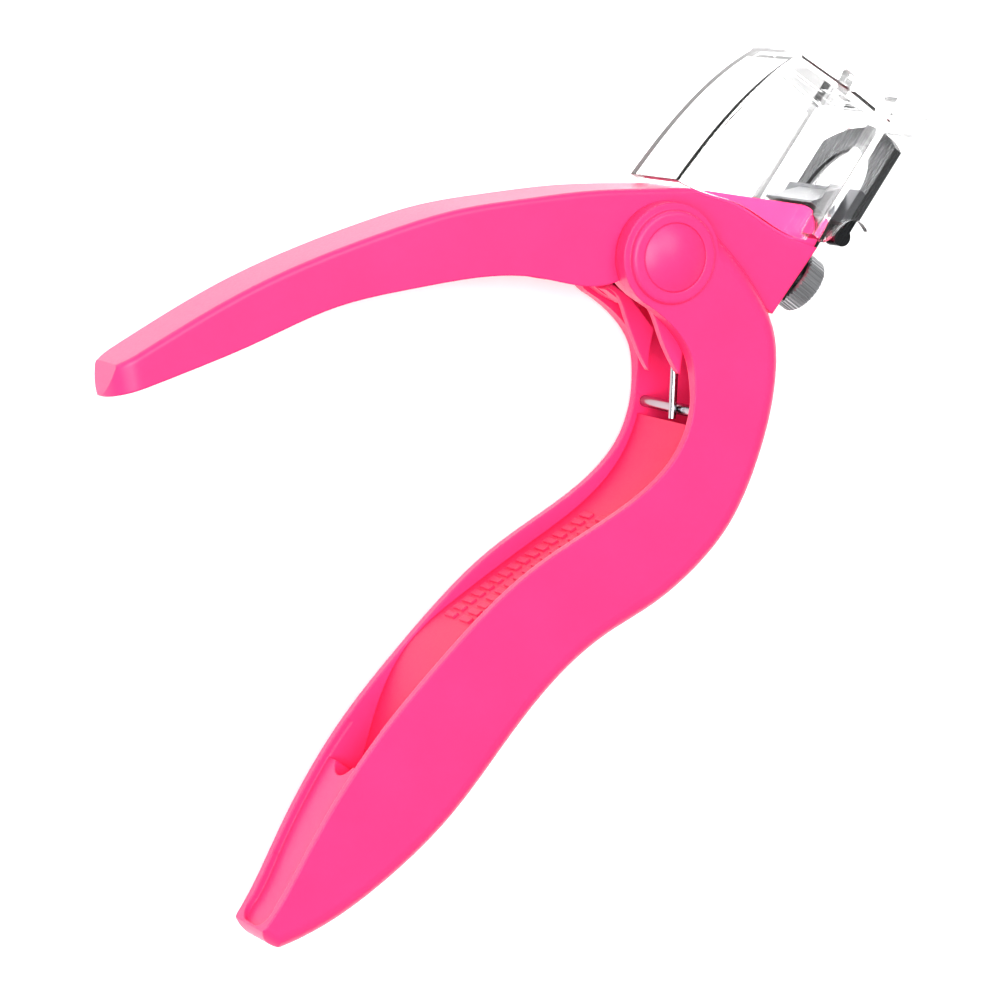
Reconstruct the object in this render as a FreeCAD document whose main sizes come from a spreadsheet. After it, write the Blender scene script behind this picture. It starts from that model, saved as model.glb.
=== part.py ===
import FreeCAD, Part
import math
import os

import Sketcher
from FreeCAD import Placement, Rotation, Vector

os.makedirs("parts", exist_ok=True)
doc = FreeCAD.newDocument("tip_cutter")

# Frame: the tool lies on its far side.  Z runs along the handle pivot, X points up the head,
# and the nail goes in along +Y from the front.  The pivot axis is X = Y = 0.

# ---------------------------------------------------------------- driving sizes, millimetres
SIZES = {
    "mid_height": (10.25, "height of the middle plane above the resting plane"),
    "lower_reach": (98.9, "pivot to the lower handle's tip"),
    "upper_reach": (74.4, "pivot to the upper handle's tip along its arm"),
    "lower_width": (16.7, "lower handle across both cheeks"),
    "lower_tip_width": (9.2, "lower handle across at its tip"),
    "upper_tip_width": (9.4, "upper handle across at its tip"),
    "cheek": (2.2, "thickness of each cheek of the lower handle"),
    "rim": (1.2, "thickness of the lower handle's side walls along the grip"),
    "side_gap": (0.3, "gap between a cheek and the upper handle"),
    "shell": (2.1, "wall thickness of the upper handle"),
    "back_round": (2.2, "rounding of the lower handle's back edges"),
    "boss_radius": (5.85, "disc round the pivot"),
    "boss_rise": (0.9, "how far the near boss stands off its cheek"),
    "pin_radius": (2.5, "pivot pin shaft"),
    "sleeve_radius": (3.2, "outside of the steel pivot sleeve"),
    "running_gap": (0.05, "radial clearance of every turning fit"),
    "cap_radius": (4.3, "domed head of the pivot pin"),
    "window_radius": (6.6, "half width of the nail window"),
    "window_floor": (21.85, "height of the window's flat edge above the pivot"),
    "plate_half": (8.7, "half width of the blade and the anvil plate"),
    "blade_thick": (1.2, "ring blade"),
    "anvil_thick": (1.0, "anvil plate"),
    "seat_depth": (17.3, "pivot axis to the face the anvil plate sits on"),
    "wheel_radius": (3.8, "thumb wheel"),
    "wheel_thick": (3.0, "thumb wheel"),
    "wheel_height": (9.8, "thumb wheel axis above the pivot"),
    "stud_radius": (1.25, "threaded stud the wheel turns on"),
    "crank_radius": (15.8, "pivot axis to the drive pin"),
    "crank_half_turn": (14.3, "degrees the crank stands either side of square"),
    "drive_radius": (1.0, "drive pin"),
    "wire_radius": (0.5, "torsion spring wire"),
    "coil_radius": (4.35, "torsion spring coil, to the middle of the wire"),
    "cover_wall": (1.0, "side and rear walls of the clear cover"),
    "collar_width": (20.5, "clear collar round the blade"),
    "collar_wall": (1.2, "side walls of the collar"),
}
sheet = doc.addObject("Spreadsheet::Sheet", "Sizes")
for row, (alias, (number, note)) in enumerate(SIZES.items(), start=1):
    sheet.set("A%d" % row, note)
    sheet.set("B%d" % row, str(number))
    sheet.setAlias("B%d" % row, alias)
doc.recompute()


def val(alias):
    return float(getattr(sheet, alias))


MID = val("mid_height")


# ---------------------------------------------------------------- small modelling helpers
def sketch(name, plane, level):
    """Empty sketch: plane XY faces +Z at height level, plane XZ faces -Y at Y = -level,
    plane YZ faces +X at X = level.  level is an expression over the sheet."""
    s = doc.addObject("Sketcher::SketchObject", name)
    if plane == "XY":
        s.Placement = Placement(Vector(), Rotation())
        s.setExpression("Placement.Base.z", level)
    elif plane == "XZ":
        s.Placement = Placement(Vector(), Rotation(Vector(1, 0, 0), 90))
        s.setExpression("Placement.Base.y", "-1 * (" + level + ")")
    else:
        s.Placement = Placement(Vector(), Rotation(Vector(1, 1, 1), 120))
        s.setExpression("Placement.Base.x", level)
    return s


def outline(s, start, steps):
    """Closed chain of lines, three-point arcs and smooth curves, fixed where it is drawn."""
    here = Vector(start[0], start[1], 0)
    first = 0
    for step in steps:
        pts = [Vector(x, y, 0) for x, y in step[1:]]
        if step[0] == "line":
            shape = Part.LineSegment(here, pts[0])
        elif step[0] == "arc":
            shape = Part.Arc(here, pts[0], pts[1])
        else:
            shape = Part.BSplineCurve()
            shape.interpolate([here] + pts)
        first = s.addGeometry(shape, False)
        s.addConstraint(Sketcher.Constraint("Block", first))
        here = pts[-1]
    return s


def slab(name, base, depth):
    """Sketch thickened evenly to both sides of its plane by the expression depth."""
    e = doc.addObject("Part::Extrusion", name)
    e.Base = base
    e.DirMode = "Normal"
    e.Solid = True
    e.Symmetric = True
    e.setExpression("LengthFwd", depth)
    return e


def rod(name, centre, direction, radius, length):
    """Cylinder centred on a point, lying along X, Y or Z, both sizes from expressions."""
    c = doc.addObject("Part::Cylinder", name)
    turn = {
        "X": Rotation(Vector(0, 1, 0), 90),
        "Y": Rotation(Vector(1, 0, 0), 90),
        "Z": Rotation(),
    }[direction]
    way = turn.multVec(Vector(0, 0, 1))
    c.setExpression("Radius", radius)
    c.setExpression("Height", length)
    c.Placement = Placement(Vector(*centre), turn)
    for axis in "xyz":
        lean = getattr(way, axis)
        if abs(lean) > 0.5:
            place = "%.4f - %.1f * (%s) / 2" % (getattr(c.Placement.Base, axis), lean, length)
            c.setExpression("Placement.Base." + axis, place)
    return c


def brick(name, low, high):
    """Rectangular block between two corners."""
    b = doc.addObject("Part::Box", name)
    b.Length = high[0] - low[0]
    b.Width = high[1] - low[1]
    b.Height = high[2] - low[2]
    b.Placement = Placement(Vector(*low), Rotation())
    return b


def joined(name, parts):
    f = doc.addObject("Part::MultiFuse", name)
    f.Shapes = parts
    f.Refine = True
    return f


def minus(name, base, tools):
    tool = tools[0] if len(tools) == 1 else joined(name + "_tools", tools)
    c = doc.addObject("Part::Cut", name)
    c.Base = base
    c.Tool = tool
    c.Refine = True
    return c


def shared(name, a, b):
    c = doc.addObject("Part::Common", name)
    c.Base = a
    c.Tool = b
    return c


def rounded(name, base, radius, pick):
    """Fillet every edge whose middle point satisfies pick."""
    doc.recompute()
    f = doc.addObject("Part::Fillet", name)
    f.Base = base
    chosen = []
    for number, edge in enumerate(base.Shape.Edges, start=1):
        middle = edge.valueAt((edge.FirstParameter + edge.LastParameter) / 2)
        if pick(middle, edge):
            chosen.append((number, radius, radius))
    f.Edges = chosen
    return f


def stretched(points, axis, start, growth):
    """Points beyond start along axis are moved out, slowly at first, so a handle grows only in
    its grip and its outline stays smooth: extra = growth * past^2 / (past + 12)."""
    moved = []
    for x, y in points:
        past = max(x * axis[0] + y * axis[1] - start, 0.0)
        extra = growth * past * past / (past + 12.0)
        moved.append((x + axis[0] * extra, y + axis[1] * extra))
    return moved


def growth_for(reach, drawn, start):
    """Growth that carries a tip drawn at one distance from the pivot out to the reach."""
    past = drawn - start
    return (reach - drawn) * (past + 12.0) / (past * past)


def offset(points, distance):
    """Open line of points moved sideways, to the left of its direction of travel."""
    moved = []
    for i, (x, y) in enumerate(points):
        x0, y0 = points[max(i - 1, 0)]
        x1, y1 = points[min(i + 1, len(points) - 1)]
        length = math.hypot(x1 - x0, y1 - y0)
        moved.append((x - (y1 - y0) / length * distance, y + (x1 - x0) / length * distance))
    return moved


finished = []


def finish(label, obj):
    """Name a sub-part for its file."""
    obj.Label = label
    finished.append(obj)
    return obj


# ---------------------------------------------------------------- outlines in the XY plane
LOWER_AXIS = (-1.0, 0.0)
LOWER_START = 16.0
LOWER_GROWTH = growth_for(val("lower_reach"), 98.9, LOWER_START)


def lower(points):
    return stretched(points, LOWER_AXIS, LOWER_START, LOWER_GROWTH)


UPPER_AXIS = (-0.70711, 0.70711)
UPPER_START = 20.0
UPPER_GROWTH = growth_for(val("upper_reach"), 74.4, UPPER_START)


def upper(points):
    return stretched(points, UPPER_AXIS, UPPER_START, UPPER_GROWTH)


BACK = lower([
    (2.3, -16.9), (0.45, -19.4), (-3.8, -22.6), (-8.6, -24.9), (-15.0, -26.9), (-22.2, -28.1),
    (-29.8, -27.3), (-36.5, -25.1), (-43.2, -21.8), (-50.1, -19.6), (-60.7, -18.2),
    (-73.1, -17.2), (-83.4, -14.7), (-92.4, -11.0), (-97.4, -7.8),
])
INNER = lower([
    (-97.5, -3.5), (-93.7, -3.5), (-87.0, -2.8), (-77.9, -2.1), (-69.2, -2.3), (-59.1, -3.6),
    (-49.4, -5.4), (-42.1, -7.5), (-35.7, -10.3), (-29.8, -13.1), (-24.5, -15.0),
    (-19.5, -15.6), (-15.0, -14.6), (-11.2, -12.4), (-8.5, -9.8), (-7.1, -6.4), (-6.8, 0.0),
])
TIP = lower([(-98.3, -5.7)])[0]
CHEEK_FRONT = [(6.5, -2.0), (5.9, -5.6), (5.1, -9.5), (3.9, -13.3), (2.3, -16.9)]

ARM_TOP = upper([
    (-50.8, 52.4), (-42.7, 48.5), (-33.9, 43.8), (-25.8, 38.5), (-17.6, 32.3), (-11.2, 26.8),
    (-4.8, 19.8), (0.8, 13.2), (5.0, 7.5), (8.9, 1.9),
])
ARM_UNDER = upper([
    (-5.9, 3.2), (-8.9, 6.4), (-11.8, 12.7), (-15.6, 18.7), (-21.9, 25.7), (-30.0, 33.5),
    (-39.3, 39.7), (-45.6, 44.1), (-54.6, 50.8),
])

# ---------------------------------------------------------------- lower handle
s = sketch("lower_side", "XY", "Sizes.mid_height")
outline(s, CHEEK_FRONT[0], [
    ["curve"] + CHEEK_FRONT[1:],
    ["curve"] + BACK[1:],
    ["arc", TIP, INNER[0]],
    ["curve"] + INNER[1:],
    ["arc", (0.0, 6.8), CHEEK_FRONT[0]],
])
lower_block = slab("lower_block", s, "Sizes.lower_width")

half = val("lower_width") / 2
half_tip = val("lower_tip_width") / 2
waist = half_tip + 0.56 * (half - half_tip)


def grip_plan(name, inset, head_inset):
    """Plan of the lower handle: full width at the head, a quick step in behind the fingers,
    then a slow taper to the tip.  inset draws the same curve further in on both sides, and
    head_inset does so beside the pivot."""
    p = sketch(name, "XZ", "10")
    line = [
        (-16.0, half), (-26.0, half - 0.45), (-37.0, waist + 0.6), (-50.0, waist - 0.1),
        (-66.0, waist - 0.55), (-84.0, half_tip + 0.7), (-98.0, half_tip - 0.2),
        (-104.0, half_tip - 0.75),
    ]
    line = lower(line)
    head = [(20.0, half - head_inset), (-8.0, half - head_inset), (-13.0, half - inset)]
    near = [(x, MID + w - inset) for x, w in line]
    far = [(x, MID - w + inset) for x, w in line][::-1]
    outline(p, (head[0][0], MID + head[0][1]), [
        ["line", (head[1][0], MID + head[1][1])],
        ["line", (head[2][0], MID + head[2][1])],
        ["line", near[0]],
        ["curve"] + near[1:],
        ["line", far[0]],
        ["curve"] + far[1:],
        ["line", (head[2][0], MID - head[2][1])],
        ["line", (head[1][0], MID - head[1][1])],
        ["line", (head[0][0], MID - head[0][1])],
        ["line", (head[0][0], MID + head[0][1])],
    ])
    return slab(name + "_block", p, "80")


def tip_plan(name, inset):
    """Plan that rounds off the last few millimetres of the lower handle."""
    p = sketch(name, "XZ", "10")
    end = lower([(-98.5, 0.0)])[0][0] + inset
    wide = half_tip + 0.1 - inset
    far_out = half + 4.0
    outline(p, (20.0, MID + far_out), [
        ["line", (end + 9.0, MID + far_out)],
        ["line", (end + 9.0, MID + wide + 0.5)],
        ["line", (end + 3.0, MID + wide)],
        ["arc", (end + 0.75, MID + 0.84 * wide), (end, MID + 0.45 * wide)],
        ["line", (end, MID - 0.45 * wide)],
        ["arc", (end + 0.75, MID - 0.84 * wide), (end + 3.0, MID - wide)],
        ["line", (end + 9.0, MID - wide - 0.5)],
        ["line", (end + 9.0, MID - far_out)],
        ["line", (20.0, MID - far_out)],
        ["line", (20.0, MID + far_out)],
    ])
    return slab(name + "_block", p, "80")


lower_plan = grip_plan("lower_plan", 0.0, 0.0)
lower_tapered = shared("lower_tapered", lower_block, lower_plan)


def on_back(point, edge):
    """Edges along the back of the lower handle, on its near and far faces."""
    if edge.Length < 6 or abs(point.z - MID) < half_tip - 1.0 or point.y > -5.0:
        return False
    flat_point = Vector(point.x, point.y, 0)
    return flat_point.distanceToPoint(back_curve.value(back_curve.parameter(flat_point))) < 0.5


back_curve = Part.BSplineCurve()
back_curve.interpolate([Vector(x, y, 0) for x, y in BACK])
lower_long = rounded("lower_long", lower_tapered, val("back_round"), on_back)
lower_round = shared("lower_round", lower_long, tip_plan("tip_plan", 0.0))


# Everything between the cheeks is open down to the back wall, behind the insert as well.
wall_line = offset(BACK[1:], -2.2)
deep_end = lower([(-74.5, 0.0)])[0][0]
deep = [p for p in wall_line if p[0] > deep_end + 1.0]
s = sketch("lower_hollow_side", "XY", "Sizes.mid_height")
outline(s, (9.5, 9.5), [
    ["line", (9.5, -16.9)],
    ["line", (1.9, -16.9)],
    ["curve"] + deep + [(deep_end, deep[-1][1] + 0.1)],
    ["line", (deep_end, 4.0)],
    ["line", (-9.5, 4.0)],
    ["line", (-9.5, 9.5)],
    ["line", (9.5, 9.5)],
])
hollow_side = slab("lower_hollow_side_block", s, "Sizes.lower_width")
cheek = val("cheek")
rim = val("rim")
hollow_plan = grip_plan("lower_hollow_plan", rim, cheek)
lower_hollow = shared("lower_hollow", hollow_side, hollow_plan)

# Shallow tray near the tip, ending in a half-round scoop beside the deep pocket.
tray_low = offset(INNER[1:5], -0.9)
s = sketch("tray_side", "XY", "Sizes.mid_height")
tray_end = lower([(-99.0, 0.0)])[0][0]
outline(s, (tray_end, 3.0), [
    ["line", (tray_end, tray_low[0][1] + 0.6)],
    ["curve"] + tray_low,
    ["line", (tray_low[-1][0], 3.0)],
    ["line", (tray_end, 3.0)],
])
tray_side = slab("tray_side_block", s, "Sizes.lower_width")
tray_long = shared("tray_long", tray_side, grip_plan("tray_plan", rim - 0.1, rim))
tray = shared("tray", tray_long, tip_plan("tray_tip_plan", 1.3))
scoop = rod("scoop", (deep_end + 1.1, -2.5, MID), "Y", "2.7", "7")

# The insert lies just below the rim, dips in the middle, and ramps down beyond the last finger.
INSERT_THICK = 1.6
DIP = [(-15.6, 0.85), (-24.0, 1.4), (-37.0, 2.0), (-48.0, 1.2), (-57.0, 0.25), (-60.0, 0.6),
       (-67.0, 2.9), (-73.8, 5.4)]
rim_curve = Part.BSplineCurve()
rim_curve.interpolate([Vector(x, y, 0) for x, y in INNER[1:-2]])
rim_run = [rim_curve.value(rim_curve.FirstParameter + (rim_curve.LastParameter
           - rim_curve.FirstParameter) * t / 600.0) for t in range(601)]


def below_rim(extra):
    """Points that follow the rim from the tip's side to the head, lowered by the dip + extra."""
    made = []
    for x, deep in DIP[::-1]:
        x = lower([(x, 0.0)])[0][0]
        at = min(range(1, 600), key=lambda t: abs(rim_run[t].x - x))
        way = rim_run[at + 1] - rim_run[at - 1]
        way.normalize()
        down = deep + extra
        made.append((rim_run[at].x + way.y * down, rim_run[at].y - way.x * down))
    return made


top_line = below_rim(0.0)
low_line = below_rim(INSERT_THICK)
floor = Part.BSplineCurve()
floor.interpolate([Vector(a, b, 0) for a, b in low_line])
floor_run = [floor.value(floor.FirstParameter + (floor.LastParameter - floor.FirstParameter)
                         * t / 400.0) for t in range(401)]

# Two ribs inside the grip carry the insert.
ribs = []
for number, (x, y) in enumerate(lower([(-21.0, 0), (-53.0, 0)])):
    under = min(floor_run, key=lambda v: abs(v.x - x))
    ribs.append(brick("insert_rib_%d" % number, (x - 0.8, under.y - 12.0, MID - 7.6),
                      (x + 0.8, under.y - 0.45, MID + 7.6)))
rib_core = shared("insert_ribs", joined("rib_pair", ribs), lower_round)

# Fork inside the head that drives the blade.
turn = math.radians(-90.0 + val("crank_half_turn"))
DRIVE = (val("crank_radius") * math.cos(turn), val("crank_radius") * math.sin(turn))
s = sketch("fork_side", "XY", "Sizes.mid_height")
outline(s, (2.9, -13.4), [
    ["line", (5.2, -17.1)],
    ["line", (1.0, -18.1)],
    ["line", (-1.8, -20.6)],
    ["line", (-6.0, -22.6)],
    ["line", (-5.6, -17.6)],
    ["line", (2.9, -13.4)],
])
fork_web = slab("fork_web", s, "6.8")
fork_eye = rod("fork_eye", (DRIVE[0], DRIVE[1], MID), "Z", "Sizes.drive_radius + 1.2", "6.8")
fork_gap = brick("fork_gap", (0.6, -22.0, MID - 1.8), (9.0, -10.0, MID + 1.8))

near_face = MID + half
far_face = MID - half
near_boss = rod("near_boss", (0, 0, near_face + val("boss_rise") / 2 - 0.5), "Z",
                "Sizes.boss_radius", "Sizes.boss_rise + 1.0")
near_boss_soft = rounded("near_boss_soft", near_boss, 0.5,
                         lambda p, e: e.Length > 20 and p.z > near_face + 0.1)
far_boss = rod("far_boss", (0, 0, far_face - 0.45), "Z", "Sizes.boss_radius", "1.9")
near_seat = rod("near_seat", (0, 0, near_face + val("boss_rise") + 0.6), "Z",
                "Sizes.cap_radius + 0.05", "2.8")
far_seat = rod("far_seat", (0, 0, far_face - 2.1), "Z", "Sizes.cap_radius + 0.05", "2.8")
cheek_bore = rod("cheek_bore", (0, 0, MID), "Z", "Sizes.pin_radius", "Sizes.lower_width + 4")
SEAT_PIN = (-13.4, -15.6)
seat_hole = rod("seat_hole", (SEAT_PIN[0], SEAT_PIN[1], MID), "Z", "0.75",
                "Sizes.lower_width - 1.2")
drive_hole = rod("drive_hole", (DRIVE[0], DRIVE[1], MID), "Z", "Sizes.drive_radius", "8")

lower_open = minus("lower_open", lower_round, [lower_hollow, tray, scoop])
lower_whole = joined("lower_whole", [lower_open, rib_core, fork_web, fork_eye,
                                     near_boss_soft, far_boss])
lower_handle = minus("lower_handle", lower_whole, [
    fork_gap, near_seat, far_seat, cheek_bore, seat_hole, drive_hole])
finish("lower_handle", lower_handle)

# ---------------------------------------------------------------- channel insert
s = sketch("insert_side", "XY", "Sizes.mid_height")
outline(s, top_line[0], [
    ["curve"] + top_line[1:],
    ["line", low_line[-1]],
    ["curve"] + low_line[::-1][1:],
    ["line", top_line[0]],
])
insert_slab = slab("insert_slab", s, "Sizes.lower_width")
insert_body = shared("insert_body", insert_slab, grip_plan("insert_plan", rim + 0.1, rim))

# Two rows of short grip bars stand on the insert.
curve = Part.BSplineCurve()
curve.interpolate([Vector(x, y, 0) for x, y in top_line])
bars = []
span = curve.LastParameter - curve.FirstParameter
for number in range(16):
    spot = curve.FirstParameter + span * (0.38 + 0.36 * number / 15.0)
    point = curve.value(spot)
    way = curve.tangent(spot)[0]
    lean = math.degrees(math.atan2(way.y, way.x))
    for side in (-1, 1):
        bar = doc.addObject("Part::Box", "bar_%d_%d" % (number, side))
        bar.Length = 0.9
        bar.Width = 0.9
        bar.Height = 2.6
        low = Vector(-0.45, -0.65, (0.8 if side > 0 else -3.4))
        bar.Placement = Placement(Vector(point.x, point.y, MID), Rotation(Vector(0, 0, 1), lean))
        bar.Placement.Base = bar.Placement.Base + bar.Placement.Rotation.multVec(low)
        bars.append(bar)
insert = joined("channel_insert", [insert_body] + bars)
finish("channel_insert", insert)

# ---------------------------------------------------------------- upper handle
s = sketch("upper_side", "XY", "Sizes.mid_height")
outline(s, ARM_TOP[0], [
    ["curve"] + ARM_TOP[1:],
    ["line", (16.6, -13.3)],
    ["arc", (16.2, -16.9), (13.8, -18.2)],
    ["line", (2.9, -17.7)],
    ["line", (2.9, -15.6)],
    ["line", (-1.2, -9.4)],
    ["curve", (-3.9, -7.3), (-5.8, -3.6), (-5.9, 3.2)],
    ["curve"] + ARM_UNDER[1:],
    ["line", ARM_TOP[0]],
])
upper_width = "Sizes.lower_width - 2 * Sizes.cheek - 2 * Sizes.side_gap"
upper_block = slab("upper_block", s, upper_width)
upper_half = half - cheek - val("side_gap")
tip_half = val("upper_tip_width") / 2
upper_len = val("upper_reach")


def arm_plan(name, inset, end, corner):
    """Plan of the upper arm, drawn along its own axis and thickened across it."""
    p = doc.addObject("Sketcher::SketchObject", name)
    p.Placement = Placement(Vector(0, 0, 0),
                            Rotation(Vector(0, 0, 1), 135).multiply(Rotation(Vector(1, 0, 0), 90)))
    wide = upper_half - inset
    thin = tip_half - inset
    bend = corner * 0.29
    outline(p, (-40.0, MID - wide), [
        ["line", (-40.0, MID + wide)],
        ["line", (18.0, MID + wide)],
        ["line", (end - corner, MID + thin)],
        ["arc", (end - bend, MID + thin - bend), (end, MID + thin - corner)],
        ["line", (end, MID - thin + corner)],
        ["arc", (end - bend, MID - thin + bend), (end - corner, MID - thin)],
        ["line", (18.0, MID - wide)],
        ["line", (-40.0, MID - wide)],
    ])
    return slab(name + "_block", p, "160")


upper_shape = shared("upper_shape", upper_block, arm_plan("arm_plan", 0.0, upper_len, 4.4))
arm_curve_top = Part.BSplineCurve()
arm_curve_top.interpolate([Vector(x, y, 0) for x, y in ARM_TOP])


def on_arm(point, edge):
    """Long edges along the top of the free arm, on both faces."""
    along = point.x * UPPER_AXIS[0] + point.y * UPPER_AXIS[1]
    if edge.Length < 12 or abs(point.z - MID) < 3.5 or along < 18.0:
        return False
    flat_point = Vector(point.x, point.y, 0)
    spot = arm_curve_top.value(arm_curve_top.parameter(flat_point))
    return flat_point.distanceToPoint(spot) < 0.4


upper_soft = rounded("upper_soft", upper_shape, 0.7, on_arm)

ceiling = offset(ARM_TOP, -2.2)[1:8]
below = offset(ARM_UNDER, 4.0)[1:8]
s = sketch("arm_channel_side", "XY", "Sizes.mid_height")
outline(s, ceiling[0], [
    ["curve"] + ceiling[1:],
    ["line", (0.0, 3.2)],
    ["line", (-12.0, 1.2)],
    ["line", below[0]],
    ["curve"] + below[1:],
    ["line", ceiling[0]],
])
arm_channel = shared("arm_channel", slab("arm_channel_block", s, "Sizes.lower_width"),
                     arm_plan("arm_channel_plan", val("shell"), upper_len - 2.0, 1.2))

core_half = upper_half - val("shell")
core = "Sizes.lower_width - 2 * Sizes.cheek - 2 * Sizes.side_gap - 2 * Sizes.shell"
s = sketch("nose_room_side", "XY", "Sizes.mid_height")
front_wall = -val("seat_depth") + 2.6
outline(s, (-13.5, -13.5), [
    ["line", (-10.0, 2.0)],
    ["line", (0.0, 4.2)],
    ["line", (6.3, 0.5)],
    ["line", (9.4, -4.2)],
    ["line", (12.9, -11.2)],
    ["line", (12.9, front_wall)],
    ["line", (6.5, front_wall)],
    ["line", (6.5, -22.0)],
    ["line", (-13.5, -22.0)],
    ["line", (-13.5, -13.5)],
])
nose_room = slab("nose_room", s, core)
hub_room = rod("hub_room", (0, 0, MID), "Z", "Sizes.coil_radius + 1.45", core)
seat_room = brick("seat_room", (6.0, -20.0, MID - 3.5), (18.0, -val("seat_depth"), MID + 3.5))

SKIRT = [(8.7, 4.1), (9.0, 2.2), (9.8, -0.8), (11.1, -4.6), (11.6, -8.6), (11.9, -12.4),
         (12.9, -15.6)]
rabbets = []
for side in (-1, 1):
    level = "Sizes.mid_height + %d * 7" % side
    s = sketch("rabbet_side_%d" % side, "XY", level)
    outline(s, (8.2, 5.3), [
        ["curve"] + [(x - 0.3, y) for x, y in SKIRT[1:]],
        ["line", (13.4, -18.5)],
        ["line", (18.5, -18.5)],
        ["line", (18.5, 5.3)],
        ["line", (8.2, 5.3)],
    ])
    rabbets.append(slab("rabbet_%d" % side, s, "4.1"))
hub_bore = rod("hub_bore", (0, 0, MID), "Z", "Sizes.sleeve_radius + Sizes.running_gap",
               "Sizes.lower_width")
stud_hole = rod("stud_hole", (val("wheel_height"), -16.0, MID), "Y", "Sizes.stud_radius", "8")
screw_holes = [rod("screw_hole_%d" % n, (14.0, -16.0, MID + z), "Y", "0.6", "3.6")
               for n, z in enumerate((-2.1, 2.1))]
roof_seat = brick("roof_seat", (8.3, 2.8, 1.0), (10.4, 5.4, 19.5))

# Two thin tails hang from the hub: one below the near wall, one further in.
tail_edge = [(-5.95, -0.9), (-6.92, -3.9), (-8.15, -5.76), (-9.26, -7.64), (-10.06, -9.31),
             (-10.7, -11.0)]
s = sketch("near_tail_side", "XY", "Sizes.mid_height + (" + upper_width + ") / 2 - 0.6")
outline(s, tail_edge[0], [
    ["curve"] + tail_edge[1:],
    ["curve", (-8.2, -9.7), (-5.0, -8.7), (-1.6, -9.2)],
    ["line", (-3.4, -2.2)],
    ["line", tail_edge[0]],
])
near_tail = slab("near_tail", s, "1.2")
inner_edge = [(-5.95, 0.6), (-6.15, -1.3), (-7.64, -3.75), (-9.42, -6.56), (-10.56, -8.59),
              (-11.3, -10.4)]
s = sketch("inner_tail_side", "XY", "Sizes.mid_height - 1.2")
outline(s, inner_edge[0], [
    ["curve"] + inner_edge[1:],
    ["curve", (-9.2, -9.0), (-6.6, -7.9)],
    ["line", (-5.2, -2.4)],
    ["line", (-5.35, 0.6)],
    ["line", inner_edge[0]],
])
inner_tail = slab("inner_tail", s, "1.1")
tail_web = brick("tail_web", (-6.2, -2.9, MID - 4.2), (-5.45, 0.5, MID - 1.5))
upper_cut = minus("upper_cut", joined("upper_tailed", [upper_soft, near_tail]), [
    arm_channel, nose_room, hub_room, seat_room, roof_seat, hub_bore, stud_hole] + rabbets + screw_holes)
finish("upper_handle", joined("upper_handle", [upper_cut, inner_tail, tail_web]))

# ---------------------------------------------------------------- pivot
cap_low = near_face + val("boss_rise") - 0.8
pin_shaft = rod("pin_shaft", (0, 0, (cap_low + far_face - 0.7) / 2), "Z", "Sizes.pin_radius",
                "%.4f" % (cap_low - far_face + 0.7))
cap = doc.addObject("Part::Feature", "pin_cap")
radius = val("cap_radius")
rise = 1.1
ball = (radius * radius + rise * rise) / (2 * rise)
top = cap_low + 0.75
dome = Part.makeSphere(ball, Vector(0, 0, top + rise - ball))
dome = dome.common(Part.makeCylinder(radius, rise + 1.0, Vector(0, 0, top)))
cap.Shape = dome.fuse(Part.makeCylinder(radius, 0.75, Vector(0, 0, cap_low))).removeSplitter()
finish("pivot_pin", joined("pivot_pin", [pin_shaft, cap]))

far_cap = rod("far_cap", (0, 0, (far_face - 0.7) / 2), "Z", "Sizes.cap_radius",
              "%.4f" % (far_face - 0.7))
finish("pivot_cap", rounded("pivot_cap", far_cap, 0.4, lambda p, e: p.z < 0.01 and e.Length > 5))

sleeve_out = rod("sleeve_out", (0, 0, MID), "Z", "Sizes.sleeve_radius",
                 "Sizes.lower_width - 2 * Sizes.cheek")
sleeve_in = rod("sleeve_in", (0, 0, MID), "Z", "Sizes.pin_radius", "Sizes.lower_width")
finish("pivot_sleeve", minus("pivot_sleeve", sleeve_out, [sleeve_in]))

washers = []
for side in (-1, 1):
    z = MID + side * (half - cheek - 0.125)
    disc = rod("washer_disc_%d" % side, (0, 0, z), "Z", "5.4", "0.25")
    hole = rod("washer_hole_%d" % side, (0, 0, z), "Z", "Sizes.sleeve_radius + 0.1", "2")
    washers.append(minus("washer_%d" % side, disc, [hole]))
finish("slip_washers", joined("slip_washers", washers))

# ---------------------------------------------------------------- return spring and its pin
seat_pin = rod("seat_pin", (SEAT_PIN[0], SEAT_PIN[1], MID), "Z", "0.75",
               "Sizes.lower_width - 1.2")
finish("spring_seat_pin", seat_pin)

coil_r = val("coil_radius")
wire = val("wire_radius")


def tangent(point, side):
    """Where a line from point touches the coil, on the chosen side."""
    away = math.hypot(*point)
    angle = math.atan2(point[1], point[0]) + side * math.acos(coil_r / away)
    return angle, (coil_r * math.cos(angle), coil_r * math.sin(angle))


push = 0.75 + wire + 0.03
seat_angle = math.atan2(SEAT_PIN[1], SEAT_PIN[0])
leg_low = (SEAT_PIN[0] + push * math.sin(seat_angle), SEAT_PIN[1] - push * math.cos(seat_angle))
ceiling_curve = Part.BSplineCurve()
ceiling_curve.interpolate([Vector(x, y, 0) for x, y in offset(ARM_TOP, -2.2 - wire - 0.15)])
leg_high = min((ceiling_curve.value(ceiling_curve.FirstParameter
               + (ceiling_curve.LastParameter - ceiling_curve.FirstParameter) * t / 400.0)
               for t in range(401)), key=lambda v: abs(v.y - 17.0))
leg_high = (leg_high.x, leg_high.y)
start_angle, start = tangent(leg_low, 1)
end_angle, end = tangent(leg_high, 1)
turns = 4.0 + ((end_angle - start_angle) / (2 * math.pi)) % 1.0
rise = 4.9
base_z = MID - rise / 2
helix = Part.makeHelix(rise / turns, rise, coil_r)
helix.rotate(Vector(), Vector(0, 0, 1), math.degrees(start_angle))
helix.translate(Vector(0, 0, base_z))
sideways = Vector(-math.sin(start_angle), math.cos(start_angle), 0)
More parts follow.
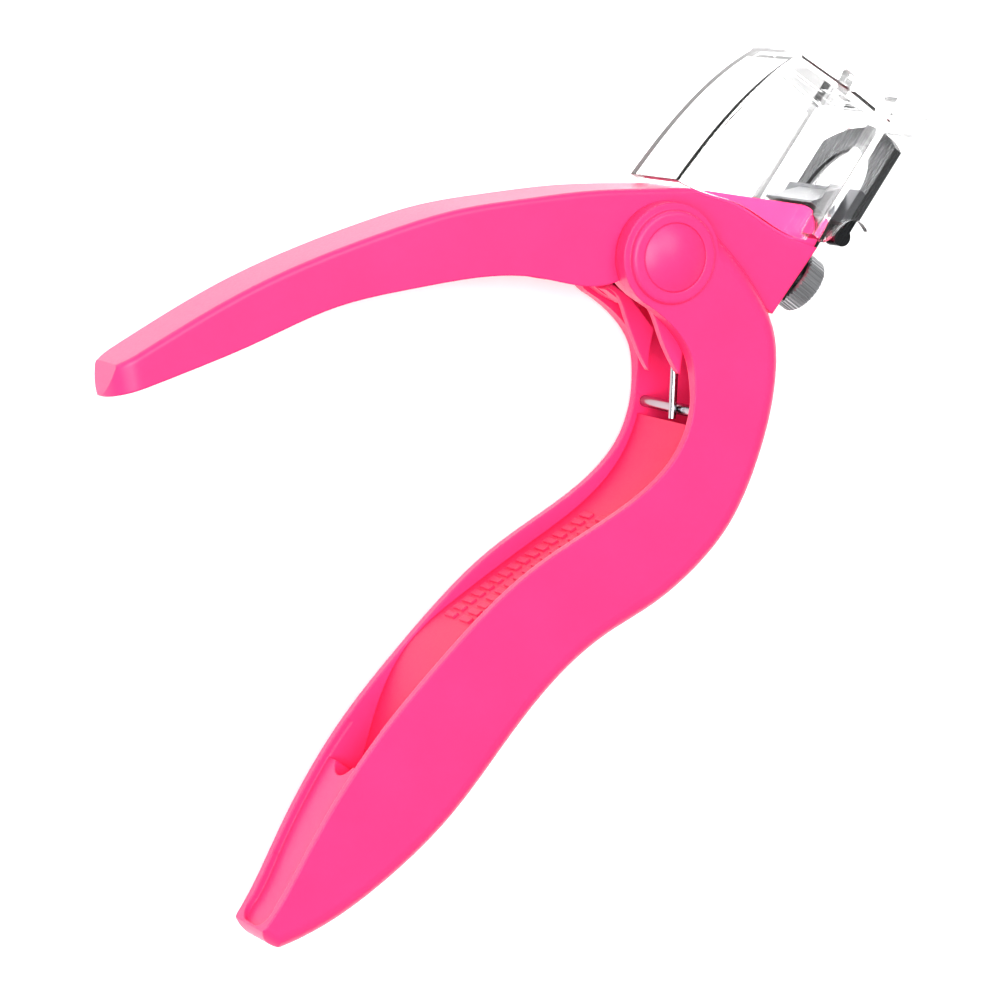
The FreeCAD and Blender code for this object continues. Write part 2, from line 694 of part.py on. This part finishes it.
mouth = Part.Wire(Part.makeCircle(wire, Vector(start[0], start[1], base_z), sideways))
coil = Part.Wire(helix.Edges).makePipeShell([mouth], True, True)


def leg(near, far, z, beyond):
    """Straight leg from the coil, run on past its contact point by beyond."""
    a = Vector(near[0], near[1], z)
    b = Vector(far[0], far[1], z)
    way = (b - a).normalize()
    length = (b - a).Length + beyond
    bar = Part.makeCylinder(wire, length, a, way)
    return bar.fuse(Part.makeSphere(wire * 1.02, a))


spring = doc.addObject("Part::Feature", "torsion_spring")
spring.Shape = coil.fuse([leg(start, leg_low, base_z, 0.8),
                          leg(end, leg_high, base_z + rise, 0.1)]).removeSplitter()
spring.Shape = spring.Shape.mirror(Vector(0, 0, MID), Vector(0, 0, 1))
finish("torsion_spring", spring)

# ---------------------------------------------------------------- blade group
seat = val("seat_depth")
anvil_mid = "Sizes.seat_depth + Sizes.anvil_thick / 2"
blade_mid = "Sizes.seat_depth + Sizes.anvil_thick + 0.05 + Sizes.blade_thick / 2"
floor_x = val("window_floor")
wide = val("plate_half")
bow = val("window_radius")
travel = 2 * val("crank_radius") * math.sin(math.radians(val("crank_half_turn")))
wheel_x = val("wheel_height")

s = sketch("anvil_face", "XZ", anvil_mid)
outline(s, (6.6, MID - 3.3), [
    ["line", (6.6, MID + 3.3)],
    ["line", (17.0, MID + 3.3)],
    ["line", (17.0, MID + wide)],
    ["line", (floor_x, MID + wide)],
    ["line", (floor_x, MID - wide)],
    ["line", (17.0, MID - wide)],
    ["line", (17.0, MID - 3.3)],
    ["line", (6.6, MID - 3.3)],
])
anvil_plate = slab("anvil_blank", s, "Sizes.anvil_thick")
anvil_stud = rod("anvil_stud", (wheel_x, -seat, MID), "Y", "Sizes.stud_radius", "8")
anvil_sinks = []
for n, z in enumerate((-2.1, 2.1)):
    sink = doc.addObject("Part::Cone", "anvil_sink_%d" % n)
    sink.Radius1 = 0.6
    sink.Radius2 = 1.1
    sink.Height = 0.5
    face = seat + val("anvil_thick")
    sink.Placement = Placement(Vector(14.0, -face + 0.5, MID + z), Rotation(Vector(1, 0, 0), 90))
    anvil_sinks += [sink, rod("anvil_hole_%d" % n, (14.0, -seat, MID + z), "Y", "0.6", "4")]

# Behind the plate a wedge rests on the nose and rises to the cutting edge.
s = sketch("wedge_side", "XY", "Sizes.mid_height")
outline(s, (floor_x, -seat - 0.5), [
    ["line", (17.7, -13.9)],
    ["line", (17.4, -13.9)],
    ["line", (17.4, -seat - 0.5)],
    ["line", (floor_x, -seat - 0.5)],
])
wedge = slab("wedge", s, "11.4")
anvil_whole = joined("anvil_whole", [anvil_plate, wedge])
finish("anvil_plate", minus("anvil_plate", anvil_whole, [anvil_stud] + anvil_sinks))

screws = []
for n, z in enumerate((-2.1, 2.1)):
    head = doc.addObject("Part::Cone", "screw_head_%d" % n)
    head.Radius1 = 0.6
    head.Radius2 = 1.1
    head.Height = 0.5
    head.Placement = Placement(Vector(14.0, -face + 0.5, MID + z), Rotation(Vector(1, 0, 0), 90))
    screws += [head, rod("screw_shank_%d" % n, (14.0, -face + 0.5 + 1.3, MID + z), "Y", "0.6",
                         "2.6")]
finish("anvil_screws", joined("anvil_screws", screws))

s = sketch("blade_face", "XZ", blade_mid)
outline(s, (2.2, MID - 1.5), [
    ["line", (2.2, MID + 1.5)],
    ["line", (5.8, MID + 1.5)],
    ["line", (5.8, MID + 3.3)],
    ["line", (15.7, MID + 3.3)],
    ["line", (15.7, MID + wide)],
    ["line", (floor_x + 7.2, MID + wide)],
    ["arc", (floor_x + 9.8, MID), (floor_x + 7.2, MID - wide)],
    ["line", (15.7, MID - wide)],
    ["line", (15.7, MID - 3.3)],
    ["line", (5.8, MID - 3.3)],
    ["line", (5.8, MID - 1.5)],
    ["line", (2.2, MID - 1.5)],
])
blade_blank = slab("blade_blank", s, "Sizes.blade_thick")
s = sketch("window_face", "XZ", blade_mid)
outline(s, (floor_x, MID - bow), [
    ["line", (floor_x, MID + bow)],
    ["arc", (floor_x + bow, MID), (floor_x, MID - bow)],
])
window = slab("window", s, "4")
front_face = seat + val("anvil_thick") + 0.05 + val("blade_thick")
bevel = doc.addObject("Part::Cone", "window_bevel")
bevel.Radius1 = bow - 0.2
bevel.Radius2 = bow + 0.9
bevel.Height = 1.1
bevel.Angle = 180
bevel.Placement = Placement(Vector(floor_x, -front_face + 0.9, MID),
                            Rotation(Vector(1, 0, 0), 90).multiply(Rotation(Vector(0, 0, 1), -90)))
s = sketch("slot_face", "XZ", blade_mid)
slot = val("stud_radius") + 0.05
outline(s, (wheel_x, MID - slot), [
    ["arc", (wheel_x - slot, MID), (wheel_x, MID + slot)],
    ["line", (wheel_x + travel + 0.1, MID + slot)],
    ["arc", (wheel_x + travel + 0.1 + slot, MID), (wheel_x + travel + 0.1, MID - slot)],
    ["line", (wheel_x, MID - slot)],
])
blade_slot = slab("blade_slot", s, "4")
hems = []
blade_y = seat + val("anvil_thick") + 0.05 + val("blade_thick") / 2
for side in (-1, 1):
    low = upper_half + 0.3
    hems.append(rod("hem_%d" % side, (15.7, -blade_y, MID + side * (low + wide) / 2), "Z", "1.2",
                    "%.4f" % (wide - low)))
rivet_hole = rod("rivet_hole", (4.0, -blade_y, MID), "Y", "0.6", "4")
blade_whole = joined("blade_whole", [blade_blank] + hems)
finish("ring_blade", minus("ring_blade", blade_whole, [window, bevel, blade_slot, rivet_hole]))

# The yoke is riveted behind the blade's tail and slides on the drive pin.
rear_face = seat + val("anvil_thick") + 0.05
yoke_blank = brick("yoke_blank", (2.1, -rear_face, MID - 1.5), (5.8, -13.7, MID + 1.5))
slot_r = val("drive_radius") + val("running_gap")
deepest = -val("crank_radius")
s = sketch("yoke_slot_side", "XY", "Sizes.mid_height")
outline(s, (DRIVE[0] + slot_r, DRIVE[1]), [
    ["arc", (DRIVE[0], DRIVE[1] + slot_r), (DRIVE[0] - slot_r, DRIVE[1])],
    ["line", (DRIVE[0] - slot_r, deepest)],
    ["arc", (DRIVE[0], deepest - slot_r), (DRIVE[0] + slot_r, deepest)],
    ["line", (DRIVE[0] + slot_r, DRIVE[1])],
])
yoke_slot = slab("yoke_slot", s, "8")
yoke_rivet_hole = rod("yoke_rivet_hole", (4.0, -rear_face, MID), "Y", "0.6", "2")
finish("drive_yoke", minus("drive_yoke", yoke_blank, [yoke_slot, yoke_rivet_hole]))
finish("yoke_rivet", rod("yoke_rivet", (4.0, -(rear_face - 1.0 + front_face) / 2, MID), "Y",
                         "0.6", "%.4f" % (front_face - rear_face + 1.0)))
finish("drive_pin", rod("drive_pin", (DRIVE[0], DRIVE[1], MID), "Z", "Sizes.drive_radius", "6.8"))

# ---------------------------------------------------------------- thumb wheel
washer_low = front_face + 0.05
stud_end = washer_low + 0.3 + 0.05 + val("wheel_thick")
finish("wheel_stud", rod("wheel_stud", (wheel_x, -(14.4 + stud_end) / 2, MID), "Y",
                         "Sizes.stud_radius", "%.4f" % (stud_end - 14.4)))
disc = rod("tension_disc", (wheel_x, -washer_low - 0.15, MID), "Y", "2.3", "0.3")
hole = rod("tension_hole", (wheel_x, -washer_low - 0.15, MID), "Y", "Sizes.stud_radius + 0.05",
           "2")
finish("tension_washer", minus("tension_washer", disc, [hole]))

wheel_back = washer_low + 0.35
wheel_mid = wheel_back + val("wheel_thick") / 2
wheel_blank = rod("wheel_blank", (wheel_x, -wheel_mid, MID), "Y", "Sizes.wheel_radius",
                  "Sizes.wheel_thick")
wheel_soft = doc.addObject("Part::Chamfer", "wheel_soft")
doc.recompute()
wheel_soft.Base = wheel_blank
wheel_soft.Edges = [(n, 0.35, 0.35) for n, e in enumerate(wheel_blank.Shape.Edges, start=1)
                    if e.Length > 15]
grooves = []
RIDGES = 40
for n in range(RIDGES):
    a = 2 * math.pi * n / RIDGES
    out = val("wheel_radius") + 0.05
    spot = (wheel_x + out * math.cos(a), -wheel_mid, MID + out * math.sin(a))
    grooves.append(rod("groove_%d" % n, spot, "Y", "0.22", "Sizes.wheel_thick + 1"))
wheel_bore = rod("wheel_bore", (wheel_x, -wheel_mid, MID), "Y",
                 "Sizes.stud_radius + Sizes.running_gap", "8")
finish("thumb_wheel", minus("thumb_wheel", wheel_soft, grooves + [wheel_bore]))

# ---------------------------------------------------------------- clear cover
wall = val("cover_wall")
s = sketch("cover_side", "XY", "Sizes.mid_height")
outline(s, SKIRT[0], [
    ["curve", (14.4, 3.6), (20.3, 2.7), (26.9, 0.9), (31.4, -1.1)],
    ["arc", (33.0, -2.0), (33.6, -3.4)],
    ["line", (34.5, -15.6)],
    ["line", (12.9, -15.6)],
    ["curve"] + SKIRT[::-1][1:],
])
cover_side = slab("cover_side_block", s, "30")
s = sketch("cover_room_side", "XY", "Sizes.mid_height")
outline(s, (4.0, 4.1 - wall), [
    ["line", (9.0, 4.1 - wall)],
    ["curve", (14.3, 3.6 - wall), (20.1, 2.7 - wall), (26.4, 0.9 - wall), (30.0, -0.8 - wall)],
    ["line", (31.1, -3.4)],
    ["line", (31.1, -16.5)],
    ["line", (4.0, -16.5)],
    ["line", (4.0, 4.1 - wall)],
])
cover_room_side = slab("cover_room_side_block", s, "30")


def cover_plan(name, inset):
    """The box of the cover widens evenly from its rear wall to the collar."""
    p = sketch(name, "YZ", "20")
    rear = 6.15 - inset
    front = 7.05 - inset
    outline(p, (6.0, MID - rear), [
        ["line", (6.0, MID + rear)],
        ["line", (-17.0, MID + front)],
        ["line", (-17.0, MID - front)],
        ["line", (6.0, MID - rear)],
    ])
    return slab(name + "_block", p, "60")


cover_box = shared("cover_box", cover_side, cover_plan("cover_plan", 0.0))
cover_box_soft = rounded("cover_box_soft", cover_box, 0.45,
                         lambda p, e: p.x > 9.5 and abs(p.z - MID) > 4 and e.Length > 3
                         and p.y > -15.0 and (p.x > 30 or p.y > 0))
cover_room = shared("cover_room", cover_room_side, cover_plan("cover_room_plan", wall))
collar_half = val("collar_width") / 2
collar_in = collar_half - val("collar_wall")
s = sketch("collar_side", "XY", "Sizes.mid_height")
outline(s, (13.2, -14.4), [
    ["line", (13.2, -16.2)],
    ["curve", (15.2, -17.0), (17.3, -17.6), (18.3, -19.0), (18.2, -20.2), (17.9, -21.0)],
    ["line", (35.1, -21.0)],
    ["line", (35.1, -14.4)],
    ["line", (13.2, -14.4)],
])
collar_blank = slab("collar_blank", s, "Sizes.collar_width")
collar_soft = rounded("collar_soft", collar_blank, 0.7,
                      lambda p, e: (p.x > 34 and e.Length > 3)
                      or (abs(p.z - MID) > 9 and p.y < -20.9))
collar_room = brick("collar_room", (4.0, -24.0, MID - collar_in), (32.0, -15.6, MID + collar_in))
cover_whole = joined("cover_whole", [cover_box_soft, collar_soft])
finish("clear_cover", minus("clear_cover", cover_whole, [cover_room, collar_room]))

# ---------------------------------------------------------------- check and write
doc.recompute()
for o in doc.Objects:
    if "Invalid" in o.State or "Error" in o.State:
        raise RuntimeError("object not built: " + o.Label)
for o in finished:
    if o.Shape.isNull() or not o.Shape.isValid() or not o.Shape.Solids:
        raise RuntimeError("shape not usable: " + o.Label)
    o.Shape.exportStep("parts/" + o.Label + ".step")
    print(o.Label, len(o.Shape.Solids), round(o.Shape.Volume, 2))
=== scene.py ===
import bpy
import numpy as np
from mathutils import Matrix, Vector


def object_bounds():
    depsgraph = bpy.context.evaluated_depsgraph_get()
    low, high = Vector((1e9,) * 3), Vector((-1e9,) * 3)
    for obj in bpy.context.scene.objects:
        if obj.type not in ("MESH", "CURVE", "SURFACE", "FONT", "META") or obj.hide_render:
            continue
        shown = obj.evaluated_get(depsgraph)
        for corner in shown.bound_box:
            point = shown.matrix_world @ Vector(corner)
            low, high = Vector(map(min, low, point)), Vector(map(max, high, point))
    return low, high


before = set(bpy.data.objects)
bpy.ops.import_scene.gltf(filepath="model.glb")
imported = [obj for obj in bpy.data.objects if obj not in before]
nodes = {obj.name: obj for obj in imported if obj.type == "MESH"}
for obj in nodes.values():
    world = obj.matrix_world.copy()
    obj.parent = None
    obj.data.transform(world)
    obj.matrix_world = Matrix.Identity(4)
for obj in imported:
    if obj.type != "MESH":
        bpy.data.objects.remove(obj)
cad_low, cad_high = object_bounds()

# ---------------------------------------------------------------- lower grip
# The long grip is one injection moulding in ABS, dyed hot pink all the way through.  The tool
# was spark-finished and then lightly polished, which leaves a soft satin gloss.


def linear(hex_text):
    """sRGB hex to linear RGBA: c/12.92 below 0.04045, else ((c + 0.055)/1.055)^2.4."""
    c = np.array([int(hex_text[i:i + 2], 16) / 255.0 for i in (1, 3, 5)])
    c = np.where(c <= 0.04045, c / 12.92, ((c + 0.055) / 1.055) ** 2.4)
    return (float(c[0]), float(c[1]), float(c[2]), 1.0)


def add(tree, kind, settings=(), **links):
    """One shader node.  settings are (name, value) pairs: an input by its name or number, or
    else a property of the node.  links are input name = output socket, spaces as underscores."""
    n = tree.nodes.new(kind)
    for name, value in settings:
        if isinstance(name, int):
            n.inputs[name].default_value = value
        elif name in n.inputs:
            n.inputs[name].default_value = value
        else:
            setattr(n, name, value)
    for name, socket in links.items():
        key = name.replace("_", " ")
        key = int(key[1:]) if key[0] == "i" and key[1:].isdigit() else key
        tree.links.new(socket, n.inputs[key])
    return n


def finish_of(name):
    """Empty material with its Principled shader and the tree, ready for its pattern."""
    m = bpy.data.materials.new(name)
    m.use_nodes = True
    return m, m.node_tree, m.node_tree.nodes["Principled BSDF"]


def moulded_abs(name, colour, deeper, gloss, edge_mm):
    """Injection-moulded ABS: even dye with a faint 9 mm flow mottle, a 0.35 mm satin grain,
    and mould edges rounded by edge_mm."""
    m, t, skin = finish_of(name)
    place = add(t, "ShaderNodeTexCoord").outputs["Object"]
    flow_mm, grain_mm = 9.09, 0.345
    flow = add(t, "ShaderNodeTexNoise", [("Scale", 1000.0 / flow_mm), ("Detail", 2.0)],
               Vector=place)
    tint = add(t, "ShaderNodeMix", [("data_type", "RGBA"), (6, linear(colour)), (7, linear(deeper))])
    t.links.new(flow.outputs["Fac"], tint.inputs[0])
    t.links.new(tint.outputs[2], skin.inputs["Base Color"])
    grain = add(t, "ShaderNodeTexNoise", [("Scale", 1000.0 / grain_mm), ("Detail", 1.0)],
                Vector=place)
    shine = add(t, "ShaderNodeMapRange", [("To Min", gloss - 0.04), ("To Max", gloss + 0.05)],
                Value=grain.outputs["Fac"])
    t.links.new(shine.outputs["Result"], skin.inputs["Roughness"])
    edge = add(t, "ShaderNodeBevel", [("samples", 6), ("Radius", edge_mm / 1000.0)])
    bump = add(t, "ShaderNodeBump", [("Strength", 0.10), ("Distance", 0.00005)],
               Height=grain.outputs["Fac"], Normal=edge.outputs["Normal"])
    t.links.new(bump.outputs["Normal"], skin.inputs["Normal"])
    skin.inputs["IOR"].default_value = 1.53
    skin.inputs["Specular IOR Level"].default_value = 0.2
    skin.inputs["Subsurface Weight"].default_value = 0.12
    skin.inputs["Subsurface Radius"].default_value = (1.0, 0.25, 0.45)
    skin.inputs["Subsurface Scale"].default_value = 0.0012
    return m


def wear(node, material):
    """Give a carried-over part its finish."""
    mesh = nodes[node].data
    mesh.materials.clear()
    mesh.materials.append(material)


hot_pink = moulded_abs("hot pink moulded ABS", "#F42E69", "#EE2962", 0.34, 0.35)
wear("lower_handle", hot_pink)

# ---------------------------------------------------------------- channel insert
# A separate strip of the same plastic, pressed in between the cheeks.  Its top was left with
# the coarser finish of its own mould.  Its pink is set deeper than the grip's, as painted shade
# for the recess between the cheeks that it sits in.
insert_pink_with_painted_shade = moulded_abs("pink moulded ABS, insert, painted recess shade", "#D41E50", "#CB194A", 0.5, 0.2)
wear("channel_insert", insert_pink_with_painted_shade)

# ---------------------------------------------------------------- upper grip
# The short grip is moulded in one piece with the nose that carries the cutter.
wear("upper_handle", hot_pink)

# ---------------------------------------------------------------- pivot
# A domed pin in the same pink is pressed through both cheeks, with a flat cap on its far end.
# It turns inside a ground steel sleeve between two nylon slip washers.
wear("pivot_pin", hot_pink)
wear("pivot_cap", hot_pink)


def ground_steel(name, colour, roughness, along, line_mm):
    """Ground steel: metallic, with grinding lines line_mm apart that run along one axis, forty
    times as long as they are wide, and a 6.25 mm cloud of darker tone."""
    m, t, skin = finish_of(name)
    place = add(t, "ShaderNodeTexCoord").outputs["Object"]
    fine = 1000.0 / line_mm
    scale = [fine, fine, fine]
    scale["XYZ".index(along)] = fine / 40.0
    lay = add(t, "ShaderNodeMapping", [("Scale", scale)], Vector=place)
    lines = add(t, "ShaderNodeTexNoise", [("Scale", 1.0), ("Detail", 3.0)],
                Vector=lay.outputs["Vector"])
    shine = add(t, "ShaderNodeMapRange", [("To Min", roughness - 0.07), ("To Max", roughness + 0.1)],
                Value=lines.outputs["Fac"])
    t.links.new(shine.outputs["Result"], skin.inputs["Roughness"])
    cloud_mm = 6.25
    cloud = add(t, "ShaderNodeTexNoise", [("Scale", 1000.0 / cloud_mm), ("Detail", 2.0)],
                Vector=place)
    dark = tuple(0.72 * c for c in linear(colour)[:3]) + (1.0,)
    tint = add(t, "ShaderNodeMix", [("data_type", "RGBA"), (6, dark), (7, linear(colour))])
    t.links.new(cloud.outputs["Fac"], tint.inputs[0])
    t.links.new(tint.outputs[2], skin.inputs["Base Color"])
    bump = add(t, "ShaderNodeBump", [("Strength", 0.25), ("Distance", 0.00003)],
               Height=lines.outputs["Fac"])
    t.links.new(bump.outputs["Normal"], skin.inputs["Normal"])
    skin.inputs["Metallic"].default_value = 1.0
    return m


turned_steel = ground_steel("turned steel", "#9A9C9F", 0.24, "Z", 0.3)
wear("pivot_sleeve", turned_steel)
slip_nylon, nylon_tree, nylon = finish_of("natural nylon")
nylon.inputs["Base Color"].default_value = linear("#E6E4DC")
nylon.inputs["IOR"].default_value = 1.53
haze_mm = 1.11
haze = add(nylon_tree, "ShaderNodeTexNoise", [("Scale", 1000.0 / haze_mm)],
           Vector=add(nylon_tree, "ShaderNodeTexCoord").outputs["Object"])
nylon_tree.links.new(add(nylon_tree, "ShaderNodeMapRange", [("To Min", 0.4), ("To Max", 0.55)],
                         Value=haze.outputs["Fac"]).outputs["Result"], nylon.inputs["Roughness"])
wear("slip_washers", slip_nylon)

# ---------------------------------------------------------------- return spring
# Bright-drawn spring wire, with its lower leg behind a steel cross pin in the grip.
drawn_wire = ground_steel("bright drawn spring wire", "#A2A4A8", 0.2, "Z", 0.2)
wear("torsion_spring", drawn_wire)
wear("spring_seat_pin", drawn_wire)

# ---------------------------------------------------------------- anvil and blade
# Both are stamped from hard stainless sheet and ground.  The anvil is left pale, while the
# ring blade is coloured darker, with a bright bevel round the window.
anvil_steel = ground_steel("ground stainless sheet", "#5C5D60", 0.3, "Z", 0.25)
wear("anvil_plate", anvil_steel)
wear("anvil_screws", turned_steel)
blade_steel = ground_steel("hardened blade steel", "#3C3D3F", 0.26, "X", 0.25)
wear("ring_blade", blade_steel)
wear("drive_yoke", turned_steel)
wear("yoke_rivet", turned_steel)
wear("drive_pin", turned_steel)

# ---------------------------------------------------------------- thumb wheel
# Turned and straight-knurled steel on a threaded stud, over a thin spring washer.
wheel_steel = ground_steel("knurled steel", "#BFC0C3", 0.28, "Y", 0.2)
wear("thumb_wheel", wheel_steel)
wear("wheel_stud", turned_steel)
wear("tension_washer", turned_steel)

# ---------------------------------------------------------------- clear cover
# The clipping box is moulded in clear polystyrene, about 1 mm thick, with polished faces and
# slightly rounded edges that catch the light.
clear_ps, clear_tree, clear = finish_of("clear polystyrene")
clear.inputs["Base Color"].default_value = (1.0, 1.0, 1.0, 1.0)
clear.inputs["Transmission Weight"].default_value = 1.0
clear.inputs["IOR"].default_value = 1.49
clear.inputs["Roughness"].default_value = 0.0
round_edge = add(clear_tree, "ShaderNodeBevel", [("samples", 6), ("Radius", 0.0003)])
clear_tree.links.new(round_edge.outputs["Normal"], clear.inputs["Normal"])
# Light for the parts inside and the floor below passes straight through the thin walls.
open_way = add(clear_tree, "ShaderNodeBsdfTransparent", [("Color", (0.97, 0.97, 0.97, 1.0))])
ray = add(clear_tree, "ShaderNodeLightPath")
either = add(clear_tree, "ShaderNodeMixShader", [], i0=ray.outputs["Is Shadow Ray"],
             i1=clear.outputs["BSDF"], i2=open_way.outputs["BSDF"])
clear_tree.links.new(either.outputs["Shader"],
                     clear_tree.nodes["Material Output"].inputs["Surface"])
wear("clear_cover", clear_ps)

# ---------------------------------------------------------------- floor, light and camera
# A plain white floor under the tool, a dimmer white studio round it, and two large soft boxes
# overhead, the stronger one on the side the tool is seen from.
floor_mesh = bpy.data.meshes.new("studio_floor")
floor_mesh.from_pydata([(-6, -6, 0), (6, -6, 0), (6, 6, 0), (-6, 6, 0)], [], [(0, 1, 2, 3)])
floor = bpy.data.objects.new("studio_floor", floor_mesh)
bpy.context.scene.collection.objects.link(floor)
floor.location = (0, 0, cad_low.z - 0.00002)
white, white_tree, paper = finish_of("white studio floor")
paper.inputs["Base Color"].default_value = (0.96, 0.96, 0.96, 1.0)
paper.inputs["Roughness"].default_value = 0.8
paper.inputs["Specular IOR Level"].default_value = 0.1
floor_mesh.materials.append(white)

world = bpy.data.worlds.new("studio")
bpy.context.scene.world = world
world.use_nodes = True
sky = world.node_tree
sky.nodes["Background"].inputs["Color"].default_value = (1.0, 1.0, 1.0, 1.0)
sky.nodes["Background"].inputs["Strength"].default_value = 0.4


def soft_box(name, place, aim, size, power):
    """Square area light at place, facing aim, in metres and watts."""
    lamp = bpy.data.lights.new(name, "AREA")
    lamp.shape = "SQUARE"
    lamp.size = size
    lamp.energy = power
    o = bpy.data.objects.new(name, lamp)
    o.location = place
    o.rotation_euler = (Vector(aim) - Vector(place)).to_track_quat("-Z", "Y").to_euler()
    bpy.context.scene.collection.objects.link(o)
    return o


soft_box("key", (-0.25, 0.55, 1.0), (0, 0, 0), 0.8, 24.0)
soft_box("fill", (0.4, 0.1, 1.0), (0, 0, 0), 0.6, 8.0)

eye = bpy.data.cameras.new("camera")
eye.sensor_width = 36.0
eye.lens = 148.3
eye.clip_start = 0.01
eye.clip_end = 20.0
camera = bpy.data.objects.new("camera", eye)
bpy.context.scene.collection.objects.link(camera)
camera.matrix_world = Matrix.Translation((-0.10987, 0.22898, 0.46589)) @ Matrix((
    (0.52470685, 0.83922713, -0.14276045),
    (-0.72219703, 0.52762088, 0.44726688),
    (0.4506819, -0.13158283, 0.88293363))).to_4x4()
bpy.context.scene.camera = camera
bpy.context.scene.view_settings.view_transform = "Standard"
